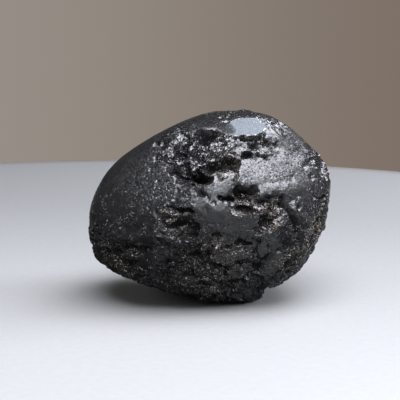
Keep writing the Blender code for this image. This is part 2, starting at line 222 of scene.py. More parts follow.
PITS = {
    "upper slot": Oval((-9, 56), 5.2, 3.8, 2.6, -8, Hollow.PIT),
    "left peck": Oval((-58, 47), 2.2, 1.6, 0.8, 30),
    "left peck small": Oval((-50, 50), 1.8, 1.4, 0.6),
    "lens": Oval((26, 41), 3.4, 2, 1.4, -12, Hollow.PIT),
    "cluster near": Oval((36, 45), 2.4, 1.8, 0.8, 40),
    "cluster middle": Oval((45, 45), 2.8, 1.9, 0.9, -20),
    "cluster far": Oval((52, 42), 2.2, 1.6, 0.8, 10),
    "right slit": Oval((68, 27), 3.6, 1.5, 0.9, 5),
    "great pit": Oval((18, 13), 8.2, 6.4, 1.3, -15, Hollow.PIT),
    "great pit lobe left": Oval((17, 20), 3.4, 2.2, 1.5, 20, Hollow.PIT),
    "great pit lobe right": Oval((23, 19), 3.2, 2.4, 1.5, -10, Hollow.PIT),
    "great pit sump": Oval((19, 7), 4.8, 2, 1.5, -14, Hollow.PIT),
    "second pit": Oval((35, 7), 7.6, 7, 0.9, 60, Hollow.SCOOP),
    "second pit hole": Oval((30, 1), 3.2, 3.6, 1.7, 0, Hollow.BUBBLE),
    "bubble dish": Oval((-20, 4), 9, 7.6, 0.7, 10, Hollow.DISH),
    "bubble": Oval((-17, -3), 6.4, 5.8, 2, 0, Hollow.BUBBLE),
    "bubble slit": Oval((-17, 9), 4.2, 1.4, 1.1, -8, Hollow.PIT),
    "low hollow": Oval((-1, -23), 7, 5, 0.7, -30, Hollow.DISH),
    "right edge pit": Oval((60, -3), 3.4, 2.6, 0.8, 70),
    "low right notch": Oval((72, -54), 8, 4, 1.5, 0, Hollow.SCOOP),
    "left edge pit": Oval((-66, -7), 3.2, 2.4, 0.7, 40),
    "back great pit": Oval((-165, 30), 8, 5.4, 1.7, 25, Hollow.PIT),
    "back bubble": Oval((150, 8), 4, 3.8, 1.6, 0, Hollow.BUBBLE),
    "back bubble small": Oval((162, 1), 2.4, 2.2, 1, 0, Hollow.BUBBLE),
    "back hollow": Oval((-140, -5), 7.4, 4.6, 1.2, -35, Hollow.SCOOP),
    "back low pit": Oval((175, -32), 5.2, 3.6, 1.2, 15, Hollow.PIT),
    "right end pit": Oval((98, 20), 4.6, 3.4, 1.3, -25, Hollow.PIT),
    "right end peck": Oval((108, -8), 2.8, 2.2, 0.8, 50),
    "left end pit": Oval((-108, -14), 4.2, 3, 1.1, 20, Hollow.PIT),
    "top peck": Oval((150, 70), 3.4, 2.4, 0.9, 35, Hollow.PIT),
}

CRACKS = {
    "slanting gouge": Crack(((-27, 49), (-29, 43), (-34, 36)), 3.2, 2.5),
    "slot under mirror": Crack(((29, 53), (36, 50), (46, 50)), 1.8, 1.3),
    "great gouge": Crack(((-2, 34), (7, 36), (15, 35)), 3, 2.1),
    "great gouge tail": Crack(((14, 34), (15, 29), (13, 24)), 0.9, 0.6),
    "star left arm": Crack(((-30, 30), (-20, 33), (-12, 29)), 1.9, 1.5),
    "star right arm": Crack(((-12, 29), (-3, 26)), 2.4, 1.8),
    "star lower arm": Crack(((-8, 27), (-7, 17)), 1.7, 1.3),
    "mirror side": Crack(((64, 60), (58, 53)), 0.9, 0.6),
    "great pit branch": Crack(((4, 17), (11, 15)), 1.4, 1),
    "second pit rim": Crack(((40, 13), (43, 3), (46, -6)), 1.3, 0.9),
    "rusty crevice": Crack(((-57, -16), (-48, -13), (-41, -14)), 2, 1.6),
    "low scoop": Crack(((-10, -26), (1, -31), (11, -32)), 2.6, 1.2),
    "low groove": Crack(((35, -21), (32, -32), (25, -39), (15, -45)), 2.1, 1.6),
    "lower left crease": Crack(((-54, -23), (-47, -31)), 1.3, 0.8),
    "low slit": Crack(((-30, -22), (-31, -33)), 1.4, 0.9),
    "back gouge": Crack(((172, 44), (-176, 38), (-168, 40), (-158, 36)), 2.6, 1.6),
    "back crack": Crack(((125, 22), (134, 14), (139, 2), (136, -10)), 1.5, 1.1),
    "left end crack": Crack(((-88, 24), (-95, 14), (-97, 3)), 1.4, 0.9),
}

ROUGH = {
    "band left": Patch((-36, 46), 6),
    "band middle": Patch((-4, 46), 6.5),
    "band under mirror": Patch((16, 47), 5),
    "great gouge floor": Patch((7, 35), 4.4),
    "band right": Patch((42, 45), 5),
    "band chips": Patch((72, 50), 3.6),
    "band star": Patch((-14, 31), 5),
    "great pit floor": Patch((18, 13), 5),
    "second pit floor": Patch((34, 8), 4.5),
    "bubble surround": Patch((-22, 4), 4.6),
    "low middle": Patch((-2, -25), 7.5),
    "low front": Patch((-20, -34), 7),
    "low right": Patch((26, -40), 6),
    "low left": Patch((-42, -32), 6.5),
    "low keel": Patch((2, -48), 8),
    "low right keel": Patch((50, -44), 6.5),
    "right edge": Patch((66, 0), 7),
    "right high edge": Patch((78, 24), 6),
    "right low edge": Patch((52, -25), 5),
    "left edge": Patch((-68, -9), 5),
    "left low edge": Patch((-52, -22), 6),
    "back band": Patch((-170, 38), 9),
    "back middle": Patch((145, 4), 7),
    "back high": Patch((150, 64), 5),
    "left back": Patch((-122, 22), 5),
    "back low": Patch((165, -30), 8),
    "back left": Patch((-130, -12), 7),
    "right end patch": Patch((100, 14), 6),
    "underside": Patch((40, -72), 7),
}

SOILED = {
    "bubble": Patch((-22, 0), 5),
    "low keel": Patch((-14, -40), 8),
    "second pit": Patch((33, 4), 4),
    "rusty crevice": Patch((-49, -15), 4),
    "low middle": Patch((-2, -28), 9),
    "great gouge": Patch((9, 35), 4.5),
    "great pit": Patch((18, 13), 4.5),
    "right low edge": Patch((50, -23), 5),
    "left low edge": Patch((-52, -24), 5),
    "right edge": Patch((62, -9), 6),
    "back low": Patch((165, -30), 9),
    "back band": Patch((-168, 36), 7),
    "back left": Patch((-132, -12), 8),
}

SHEEN = {
    "upper right": Patch((42, 32), 14),
    "front": Patch((3, 16), 7),
    "high right": Patch((75, 40), 8),
}

CALM = {
    "top slope": Patch((-25, 73), 9),
    "upper left rim": Patch((-88, 50), 12),
    "left rim": Patch((-84, 24), 10),
}

# Patches that take the dark coat in the glass's shader: partly dull skin, partly painted shade
# that dims the reflections on the rims, on the lower left and in the middle of the sheen.
DULL_AND_SHADED = {
    "top rim": Patch((-96, 66), 8, 1.8),
    "upper left rim": Patch((-92, 44), 10, 2.2),
    "left rim": Patch((-88, 24), 9, 2.2),
    "left flank": Patch((-66, 12), 12, 0.8),
    "bubble": Patch((-18, -6), 8),
    "beside bubble": Patch((-31, 0), 5, 1.6),
    "second pit side": Patch((44, -5), 5, 1.6),
    "star foot": Patch((-20, 21), 3.6),
    "under chips": Patch((64, 41), 4, 1.6),
    "low right": Patch((50, -30), 12, 0.6),
    "left low": Patch((-60, -12), 17, 2),
    "mirror left edge": Patch((16, 61), 2.4, 2),
    "sheen middle": Patch((46, 24), 5, 0.25),
    "low": Patch((-30, -30), 13, 1.3),
    "keel": Patch((10, -40), 14, 0.6),
    "back": Patch((-160, -20), 18),
}


def facing(direction: Direction) -> np.ndarray:
    """Turns a direction into a vector.

    Args:
        direction: An azimuth and an elevation, in degrees.

    Returns:
        The unit vector along it.
    """
    turn, rise = (math.radians(angle) for angle in direction)
    level = math.cos(rise)
    return np.array([math.sin(turn) * level, -math.cos(turn) * level, math.sin(rise)])


def smooth_step(value: np.ndarray) -> np.ndarray:
    """Returns 0 below 0 and 1 above 1, with a soft rise between."""
    value = np.clip(value, 0.0, 1.0)
    return value * value * (3.0 - 2.0 * value)


def bumps(points: np.ndarray, spacing: float, place: Place) -> np.ndarray:
    """Returns noise at each point, from about -1 to 1. The place picks a stretch of it."""
    shift = Vector(place)
    return np.array([noise.noise(Vector(point) / spacing + shift) for point in points])


@dataclass
class Skin:
    """The skin while the stone is worked: how far it is from the middle along each ray."""

    rays: np.ndarray
    radius: np.ndarray

    NEAR_LEVEL = 0.05
    FAR_OFF = 0.3
    PATCH_EDGE = 0.5

    @property
    def points(self) -> np.ndarray:
        """Every corner of the skin, from the egg's middle."""
        return self.rays * self.radius[:, None]

    def at(self, direction: Direction) -> np.ndarray:
        """Returns the point of the skin that lies in a direction."""
        ray = facing(direction)
        return ray * self.radius[np.argmax(self.rays @ ray)]

    def plane(self, normal: np.ndarray, level: float) -> np.ndarray:
        """Finds where a plane cuts the rays.

        Args:
            normal: The plane's unit normal, pointing out.
            level: Its distance from the middle.

        Returns:
            The distance along each ray, or far off where the ray misses it.
        """
        slope = self.rays @ normal
        met = level / np.maximum(slope, self.NEAR_LEVEL)
        return np.where(slope > self.NEAR_LEVEL, met, self.FAR_OFF)

    def grind(self, flat: Flat) -> None:
        """Grinds a worn flat on the skin, its edge rounded off.

        Args:
            flat: The flat to grind.
        """
        normal = facing(flat.facing)
        level = float((self.points @ normal).max()) - flat.cut * MM
        plane = self.plane(normal, level)
        rounding = flat.rounding * MM
        share = np.clip(0.5 + 0.5 * (plane - self.radius) / rounding, 0.0, 1.0)
        blend = plane + (self.radius - plane) * share
        self.radius = blend - rounding * share * (1.0 - share)

    def strike(self, facet: Facet) -> np.ndarray:
        """Strikes a facet off the skin.

        Args:
            facet: The facet to strike.

        Returns:
            How clear each corner on the facet is, and 0 elsewhere.
        """
        points = self.points
        centre = self.at(facet.middle)
        near = points[np.linalg.norm(points - centre, axis=1) < facet.reach * MM]
        normal = np.linalg.svd(near - near.mean(axis=0))[2][-1]
        normal = normal * np.sign(normal @ centre)
        plane = self.plane(normal, float((near @ normal).min()))
        struck = plane < self.radius
        self.radius = np.minimum(self.radius, plane)
        return facet.clear * struck

    def oval(self, oval: Oval, points: np.ndarray) -> np.ndarray:
        """Works out an oval pit or lump.

        Args:
            oval: The pit or lump.
            points: The skin's strayed corners.

        Returns:
            Its depth at each corner.
        """
        outward = facing(oval.middle)
        level = facing((oval.middle[0] + 90.0, 0.0))
        upward = np.cross(outward, level)
        turn = math.radians(oval.turn)
        offset = points - self.at(oval.middle)
        along = offset @ (level * math.cos(turn) + upward * math.sin(turn))
        across = offset @ (upward * math.cos(turn) - level * math.sin(turn))
        length, width = oval.length * MM, oval.width * MM
        spread = (2.0 * along / length) ** 2 + (2.0 * across / width) ** 2
        inside = np.clip(1.0 - spread, 0.0, 1.0) * (points @ outward > 0.0)
        return oval.depth * MM * inside**oval.hollow.value

    def crack(self, crack: Crack, points: np.ndarray) -> np.ndarray:
        """Works out a crack, as a steep furrow along its route.

        Args:
            crack: The crack.
            points: The skin's strayed corners.

        Returns:
            Its depth at each corner.
        """
        stops = [self.at(direction) for direction in crack.route]
        nearest = np.full(len(points), np.inf)
        for start, end in zip(stops, stops[1:]):
            run = end - start
            share = np.clip((points - start) @ run / (run @ run), 0.0, 1.0)
            away = np.linalg.norm(points - start - share[:, None] * run, axis=1)
            nearest = np.minimum(nearest, away)
        inside = np.clip(1.0 - 2.0 * nearest / (crack.width * MM), 0.0, 1.0)
        return crack.depth * MM * inside**Hollow.PIT.value

    def spread(self, patches: dict[str, Patch], points: np.ndarray) -> np.ndarray:
        """Finds how strongly some patches mark each corner.

        Args:
            patches: The patches.
            points: The skin's strayed corners.

        Returns:
            The patch's strength in its middle, 0 outside, with a soft edge.
        """
        share = np.zeros(len(points))
        for patch in patches.values():
            away = np.linalg.norm(points - self.at(patch.middle), axis=1)
            inside = smooth_step((1.0 - away / (patch.reach * MM)) / self.PATCH_EDGE)
            share = np.maximum(share, patch.strength * inside)
        return share


def eased(values: np.ndarray, edges: np.ndarray, rounds: int) -> np.ndarray:
    """Evens out values over a mesh.

    Args:
        values: One for each corner.
        edges: The two corners of every edge.
        rounds: How many times each corner takes the mean of its neighbours.

    Returns:
        The evened values.
    """
    ends = edges.ravel()
    others = edges[:, ::-1].ravel()
    neighbours = np.bincount(ends, minlength=len(values))
    for _ in range(rounds):
        values = np.bincount(ends, weights=values[others], minlength=len(values)) / neighbours
    return values


def flaked(points: np.ndarray, flaking: Flaking) -> np.ndarray:
    """Breaks the skin into slanting flakes.

    Args:
        points: The skin's corners.
        flaking: The flakes' size and slant.

    Returns:
        How far each corner lies below the skin's level.
    """

    def dip(place: Vector, flake: Vector) -> float:
        """Returns how far one flake lies below the skin, in flakes."""
        lean = noise.cell_vector(flake * flaking.LEAN_SPREAD) - Vector((0.5, 0.5, 0.5))
        return lean.dot(place - flake)

    dips = []
    for point in points:
        place = Vector(point) * flaking.STRETCH / flaking.size
        gaps, flakes = noise.voronoi(place)
        share = min(1.0, 0.5 + (gaps[1] - gaps[0]) / flaking.seam)
        dips.append(share * dip(place, flakes[0]) + (1.0 - share) * dip(place, flakes[1]))
    return np.maximum(np.array(dips) * flaking.slant * flaking.size, -flaking.stand)


# Shaders.


class Socket:
    """A node's output, which Python's arithmetic turns into Math nodes."""

    def __init__(self, graph: "Graph", output: bpy.types.NodeSocket) -> None:
        """Wraps one output of a graph's node."""
        self.graph = graph
        self.output = output

    def _with(self, operation: str, first: object, second: object) -> "Socket":
        """Adds a Math node and returns its result."""
        return self.graph.node("ShaderNodeMath", {0: first, 1: second}, operation=operation)

    def __add__(self, other: object) -> "Socket":
        """self + other."""
        return self._with("ADD", self, other)

    def __radd__(self, other: object) -> "Socket":
        """other + self."""
        return self._with("ADD", other, self)

    def __sub__(self, other: object) -> "Socket":
        """self - other."""
        return self._with("SUBTRACT", self, other)

    def __rsub__(self, other: object) -> "Socket":
        """other - self."""
        return self._with("SUBTRACT", other, self)

    def __mul__(self, other: object) -> "Socket":
        """self * other."""
        return self._with("MULTIPLY", self, other)

    def __rmul__(self, other: object) -> "Socket":
        """other * self."""
        return self._with("MULTIPLY", other, self)

    def beside(self, name: str) -> "Socket":
        """Returns another output of the same node."""
        return Socket(self.graph, self.output.node.outputs[name])

    def rise(self, low: float, high: float) -> "Socket":
        """Returns a soft step, 0 where the value is low and 1 where it is high."""
        inputs = {"Value": self, "From Min": low, "From Max": high}
        return self.graph.node("ShaderNodeMapRange", inputs, interpolation_type="SMOOTHSTEP")


class Graph:
    """The nodes of a material or of the world."""

    COLOUR_MIX_INPUTS = (0, 6, 7)
    COLOUR_MIX_OUTPUT = 2

    def __init__(self, tree: bpy.types.NodeTree, coordinates: str = "Object") -> None:
        """Empties a node tree and gives it the coordinates that its patterns follow.

        Args:
            tree: The node tree.
            coordinates: Which texture coordinates to use.
        """
        tree.nodes.clear()
        self.tree = tree
        self.place = self.node("ShaderNodeTexCoord", output=coordinates)

    def add(self, kind: str, inputs: dict | None = None, **settings: object) -> bpy.types.Node:
        """Adds a node.

        Args:
            kind: The node's type.
            inputs: Values or Sockets for its inputs, by name or number.
            settings: Its properties, set first.

        Returns:
            The new node.
        """
        made = self.tree.nodes.new(kind)
        for name, value in settings.items():
            setattr(made, name, value)
        for name, value in (inputs or {}).items():
            if isinstance(value, Socket):
                self.tree.links.new(value.output, made.inputs[name])
            else:
                made.inputs[name].default_value = value
        return made

    def node(
        self, kind: str, inputs: dict | None = None, output: int | str = 0, **settings: object
    ) -> Socket:
        """Adds a node and returns one of its outputs."""
        return Socket(self, self.add(kind, inputs, **settings).outputs[output])

    def mix(self, share: object, first: object, second: object) -> Socket:
        """Returns two colours mixed, with a share of the second."""
        inputs = dict(zip(self.COLOUR_MIX_INPUTS, (share, first, second)))
        return self.node("ShaderNodeMix", inputs, self.COLOUR_MIX_OUTPUT, data_type="RGBA")

    def blend(self, share: Socket, first: Socket, second: Socket) -> Socket:
        """Returns two shaders mixed, with a share of the second."""
        return self.node("ShaderNodeMixShader", dict(enumerate((share, first, second))))

    def plain(self, colour: Colour | Socket, matt: float, gloss: float) -> Socket:
        """Returns a plain shader of a colour, with its roughness and its specular level."""
        inputs = {"Base Color": colour, "Roughness": matt, "Specular IOR Level": gloss}
        return self.node("ShaderNodeBsdfPrincipled", inputs)

    def mark(self, name: str) -> Socket:
        """Returns a value that the mesh holds at each of its corners."""
        return self.node("ShaderNodeAttribute", output="Fac", attribute_name=name)

    def without(self, name: str, share: float) -> Socket:
        """Returns 1, less a share of a value that the mesh holds."""
        return 1.0 - share * self.mark(name)

    def noise(self, spacing: float, detail: float = 2.0) -> Socket:
        """Returns noise about 0.5, its detail being how many finer layers it has."""
        inputs = {"Vector": self.place, "Scale": 1.0 / spacing, "Detail": detail}
        return self.node("ShaderNodeTexNoise", inputs, "Fac")

    def cells(self, spacing: float, output: str = "Distance") -> Socket:
        """Returns the Distance to the nearest of many scattered points, or its Position."""
        inputs = {"Vector": self.place, "Scale": 1.0 / spacing}
        return self.node("ShaderNodeTexVoronoi", inputs, output)

    def vectors(self, operation: str, first: object, second: object) -> Socket:
        """Returns the vector that an operation on two vectors gives."""
        return self.node("ShaderNodeVectorMath", {0: first, 1: second}, operation=operation)

    def flakes(self, size: float, slant: float) -> Socket:
        """Breaks a surface into tiny slanting facets.

        Args:
            size: How far apart the facets' middles are.
            slant: How steep they are.

        Returns:
            Their height.
        """
        middle = self.cells(size, "Position")
        offset = self.vectors("SUBTRACT", self.place, middle)
        lean = self.vectors("SUBTRACT", middle.beside("Color"), (0.5, 0.5, 0.5))
        return slant * self.vectors("DOT_PRODUCT", offset, lean).beside("Value")


def blank_material(name: str) -> tuple[bpy.types.Material, Graph]:
    """Starts a material.

    Args:
        name: The material's name.

    Returns:
        The material and its nodes, still to be made.
    """
    made = bpy.data.materials.new(name)
    made.use_nodes = True
    return made, Graph(made.node_tree)


# Finishes. A step is the two values between which a pattern goes from none to full, and
# the second may be the lower.


@dataclass(frozen=True)
class Stain:
    """Rust and silt caught in the glass's hollows."""

    rust: Colour = (0.045, 0.030, 0.018, 1.0)
    rusting: float = 0.6
    level_rusting: float = 0.35
    rust_spacing: float = 2.2 * MM
    rust_step: Step = (0.46, 0.66)
    silt: Colour = (0.130, 0.112, 0.082, 1.0)
    hollow_silting: float = 0.2
    soiled_silting: float = 0.7
    silt_spacing: float = 0.45 * MM
    silt_step: Step = (0.56, 0.7)

    def over(self, graph: Graph, colour: Colour) -> Socket:
        """Lays the stain over a colour.

        Args:
            graph: The material's nodes.
            colour: The clean colour.

        Returns:
            The stained colour.
        """
        soiled = graph.mark("soiled")
        hollow = graph.mark("hollow")
        depth = self.level_rusting + (1.0 - self.level_rusting) * hollow
        blotches = graph.noise(self.rust_spacing, detail=4.0).rise(*self.rust_step)
        rusty = self.rusting * soiled * depth * blotches
        grains = graph.noise(self.silt_spacing, detail=1.0).rise(*self.silt_step)
        silty = (self.hollow_silting * hollow + self.soiled_silting * soiled) * grains
        return graph.mix(silty, graph.mix(rusty, colour, self.rust), self.silt)


@dataclass(frozen=True)
class ShadeAndGrime:
    """A dark matt coat: painted shade in pits, creases and pinholes and on the dull and shaded
    patches, and grime in blotches.
    """

    colour: Colour = (0.0016, 0.0015, 0.0014, 1.0)
    matt: float = 0.8
    gloss: float = 0.1
    pit_step: Step = (0.54, 0.7)
    pit_tearing: float = 0.9
    pit_tear_spacing: float = 0.5 * MM
    glinting: float = 0.75
    glint_spacing: float = 0.7 * MM
    glint_step: Step = (0.54, 0.6)
    creasing: float = 0.9
    dull_and_shaded_creasing: float = 0.35
    crease_spacing: float = 1.1 * MM
    crease_step: Step = (0.0016, 0.0003)
    holing: float = 0.8
    hole_spacing: float = 1.2 * MM
    hole_step: Step = (0.2, 0.13)
    hole_choice: Step = (0.5, 0.55)
    grime: float = 0.2
    ragged_grime: float = 0.1
    dull_and_shaded_grime: float = 0.3
    grime_spacing: float = 0.9 * MM
    grime_step: Step = (0.46, 0.6)
    dull_and_shaded_darkening: float = 0.42
    fresh_step: Step = (0.0, 0.5)

    def pits(self, graph: Graph) -> Socket:
        """Paints shade into the pits, torn at their edges and with glints of bare glass left in
        them.

        Args:
            graph: The material's nodes.

        Returns:
            How dark they are.
        """
        tear = graph.noise(self.pit_tear_spacing, detail=3.0) - 0.5
        deep = (graph.mark("hollow") + self.pit_tearing * tear).rise(*self.pit_step)
        glints = graph.noise(self.glint_spacing).rise(*self.glint_step)
        return deep * (1.0 - self.glinting * glints)

    def creases(self, graph: Graph) -> Socket:
        """Paints shade along winding creases, where the skin is torn and on the dull and shaded
        patches.

        Args:
            graph: The material's nodes.

        Returns:
            How dark they are.
        """
        fold = graph.noise(self.crease_spacing, detail=4.0) - 0.5
        seamed = graph.mark("ragged") + self.dull_and_shaded_creasing * graph.mark("dull_and_shaded")
        return self.creasing * (fold * fold).rise(*self.crease_step) * seamed

    def share(self, graph: Graph) -> Socket:
        """Works out how much of the glass takes the dark coat of painted shade and grime.

        Args:
            graph: The material's nodes.

        Returns:
            The share, from 0 to 1, or past it where marks overlap.
        """
        worn = 1.0 - graph.mark("clear").rise(*self.fresh_step)
        grime = self.grime + self.ragged_grime * graph.mark("ragged")
        grime = grime + self.dull_and_shaded_grime * graph.mark("dull_and_shaded")
        grime = graph.noise(self.grime_spacing, detail=3.0).rise(*self.grime_step) * grime
        # Pinholes: small dark dots of painted shade, standing for tiny pits.
        hole = graph.cells(self.hole_spacing)
        holes = self.holing * hole.rise(*self.hole_step)
        holes = holes * hole.beside("Color").rise(*self.hole_choice)
        # The dull and shaded patches take painted shade, partly standing for dull skin.
        bare = (1.0 - self.pits(graph)) * graph.without("dull_and_shaded", self.dull_and_shaded_darkening)
        bare = bare * (1.0 - grime * worn) * (1.0 - self.creases(graph))
        return 1.0 - bare * (1.0 - holes * worn)

    def shader(self, graph: Graph) -> Socket:
        """Returns the dark coat's own shader, for the painted shade and the grime."""
        return graph.plain(self.colour, self.matt, self.gloss)


@dataclass(frozen=True)
class CrumbsAndGlints:
    """Pale specks in clumps, most where the skin is torn, dull and shaded, or soiled: partly
    crumbs of dust, partly painted glints.
    """

    pale: Colour = (0.34, 0.33, 0.32, 1.0)
    ochre: Colour = (0.25, 0.19, 0.11, 1.0)
    matt: float = 0.6
    gloss: float = 0.3
    spacing: float = 0.3 * MM
    step: Step = (0.6, 0.74)
    clump_spacing: float = 1.7 * MM
    clump_step: Step = (0.46, 0.62)
    soiled_clumping: float = 0.14
    shed: float = 0.93
    ragged_hold: float = 0.7
    dull_and_shaded_hold: float = 0.2
    calm_loss: float = 0.9
    hollow_loss: float = 0.6
    ochre_spacing: float = 1.1 * MM
    ochre_step: Step = (0.4, 0.6)

    def share(self, graph: Graph) -> Socket:
        """Strews the crumbs, which are partly painted glints.

        Args:
            graph: The material's nodes.

        Returns:
            1 on a crumb, 0 between them, and less where few stay.
        """
        soiled = graph.mark("soiled")
        clean = graph.without("ragged", self.ragged_hold) * graph.without("dull_and_shaded", self.dull_and_shaded_hold)
        clumps = graph.noise(self.clump_spacing) + self.soiled_clumping * soiled
        held = 1.0 - self.shed * clean * (1.0 - soiled)
        held = held * graph.without("calm", self.calm_loss)
        held = held * graph.without("hollow", self.hollow_loss)
        crumbs_and_glints = graph.noise(self.spacing, detail=1.0).rise(*self.step)
        return crumbs_and_glints * clumps.rise(*self.clump_step) * held

    def shader(self, graph: Graph) -> Socket:
        """Returns the shader of the crumbs and painted glints, ochre in places where they are
        soiled.
        """
        stained = graph.mark("soiled") * graph.noise(self.ochre_spacing).rise(*self.ochre_step)
        return graph.plain(graph.mix(stained, self.pale, self.ochre), self.matt, self.gloss)


@dataclass(frozen=True)
class FineRelief:
    """The skin's finest relief: grain, tiny glittering facets, torn flakes and pecks."""

    grain_spacing: float = 0.45 * MM
    grain_height: float = 0.04 * MM
    glitter_size: float = 0.25 * MM
    glitter_slant: float = 1.2
    glitter: float = 0.4
    ragged_glitter_loss: float = 0.25
    torn_size: float = 1.3 * MM
    torn_slant: float = 0.8
    dull_and_shaded_tearing: float = 0.3
    peck_spacing: float = 0.9 * MM
    peck_step: Step = (0.42, 0.1)
    peck_depth: float = 0.15 * MM
    peck_choice_spacing: float = 1.53 * MM
    peck_choice: Step = (0.42, 0.56)
    clear_loss: float = 0.95
    sheen_loss: float = 0.5
    calm_loss: float = 0.7

    def normal(self, graph: Graph) -> Socket:
        """Works out the relief.

        Args:
            graph: The material's nodes.

        Returns:
            The bumped normal.
        """
        ragged = graph.mark("ragged")
        grain = graph.noise(self.grain_spacing) * self.grain_height
        glitter = graph.flakes(self.glitter_size, self.glitter_slant)
        glitter = glitter * (self.glitter - self.ragged_glitter_loss * ragged)
        tearing = ragged + self.dull_and_shaded_tearing * graph.mark("dull_and_shaded")
        torn = graph.flakes(self.torn_size, self.torn_slant) * tearing
        chosen = graph.noise(self.peck_choice_spacing, detail=0.0).rise(*self.peck_choice)
        pecks = graph.cells(self.peck_spacing).rise(*self.peck_step) * chosen
        worn = graph.without("clear", self.clear_loss) * graph.without("sheen", self.sheen_loss)
        worn = worn * graph.without("calm", self.calm_loss)
        height = worn * (grain + glitter + torn - pecks * self.peck_depth)
        return graph.node("ShaderNodeBump", {"Height": height, "Distance": 1.0})


@dataclass(frozen=True)
class TektiteGlass:
    """The stone's glass: near black, satin where it is whole, clear where it is fresh."""

    black: Colour = (0.003, 0.003, 0.0032, 1.0)
    index: float = 1.48
    satin: float = 0.22
    clouding: float = 0.10
    cloud_spacing: float = 4.0 * MM
    bloom: float = 0.14
    etching: float = -0.04
    polish: float = 0.10
    polish_step: Step = (0.5, 1.0)
    stain: Stain = Stain()
    shade_and_grime: ShadeAndGrime = ShadeAndGrime()
    crumbs_and_glints: CrumbsAndGlints = CrumbsAndGlints()
    relief: FineRelief = FineRelief()

    def material(self) -> bpy.types.Material:
        """Makes the material.

        Returns:
            The finished material.
        """
        made, graph = blank_material("tektite_glass")
        inputs = {
            "Base Color": self.stain.over(graph, self.black),
            "Roughness": self.roughness(graph),
            "Normal": self.relief.normal(graph),
            "IOR": self.index,
        }
        skin = graph.node("ShaderNodeBsdfPrincipled", inputs)
        # Over the skin, a dark coat of painted shade and grime; over that, pale crumbs that are
        # partly painted glints.
        skin = graph.blend(self.shade_and_grime.share(graph), skin, self.shade_and_grime.shader(graph))
        shader = graph.blend(self.crumbs_and_glints.share(graph), skin, self.crumbs_and_glints.shader(graph))
        graph.add("ShaderNodeOutputMaterial", {"Surface": shader})
        return made

    def roughness(self, graph: Graph) -> Socket:
        """Clouds the glass, blurs its sheen and clears the freshly struck facets.

        Args:
            graph: The material's nodes.

        Returns:
            The roughness.
        """
        clouds = graph.noise(self.cloud_spacing, detail=3.0) - 0.5
        worn = self.satin + self.clouding * clouds + self.bloom * graph.mark("sheen")
        worn = worn + self.etching * graph.mark("ragged")
        fresh = graph.mark("clear").rise(*self.polish_step)
        return worn - (self.polish + self.bloom) * fresh


@dataclass(frozen=True)
class PaleTable:
    """A plain pale table top, softly matt, with painted shade towards its far side and at its
    rim.
    """

    colour: Colour = (0.152, 0.155, 0.150, 1.0)
    far_shade_colour: Colour = (0.096, 0.099, 0.097, 1.0)
    far_way: Place = (0.3, 1.0, 0.0)
    far_step: Step = (-85.0 * MM, 130.0 * MM)
    rim_shade_colour: Colour = (0.070, 0.066, 0.061, 1.0)
    edge_width: float = 10.0 * MM
    mottle_spacing: float = 1.6 * MM
    mottling: float = 0.25
    matt: float = 0.55
    matt_mottling: float = 0.1

    def material(self) -> bpy.types.Material:
        """Makes the material.

        Returns:
            The finished material.
        """
        made, graph = blank_material("pale_table")
        mottle = graph.noise(self.mottle_spacing, detail=3.0)
        away = graph.vectors("DOT_PRODUCT", graph.place, self.far_way).beside("Value")
        # Painted shade: darker towards the far side, where the lamp light falls off.
        shade = graph.mix(away.rise(*self.far_step), self.colour, self.far_shade_colour)
        shade = graph.mix(self.mottling * mottle, shade, self.far_shade_colour)
        # Painted shade along the rim, standing for an edge that rounds off away from the light.
        middle = (*Studio.table_middle, 0.0)
        out = graph.vectors("DISTANCE", graph.place, middle).beside("Value")
        rim = Studio.table_radius
        shade = graph.mix(out.rise(rim - self.edge_width, rim), shade, self.rim_shade_colour)
        matt = self.matt + self.matt_mottling * (mottle - 0.5)
        inputs = {"Base Color": shade, "Roughness": matt}
        shader = graph.node("ShaderNodeBsdfPrincipled", inputs)
        graph.add("ShaderNodeOutputMaterial", {"Surface": shader})
        return made


# The stone.


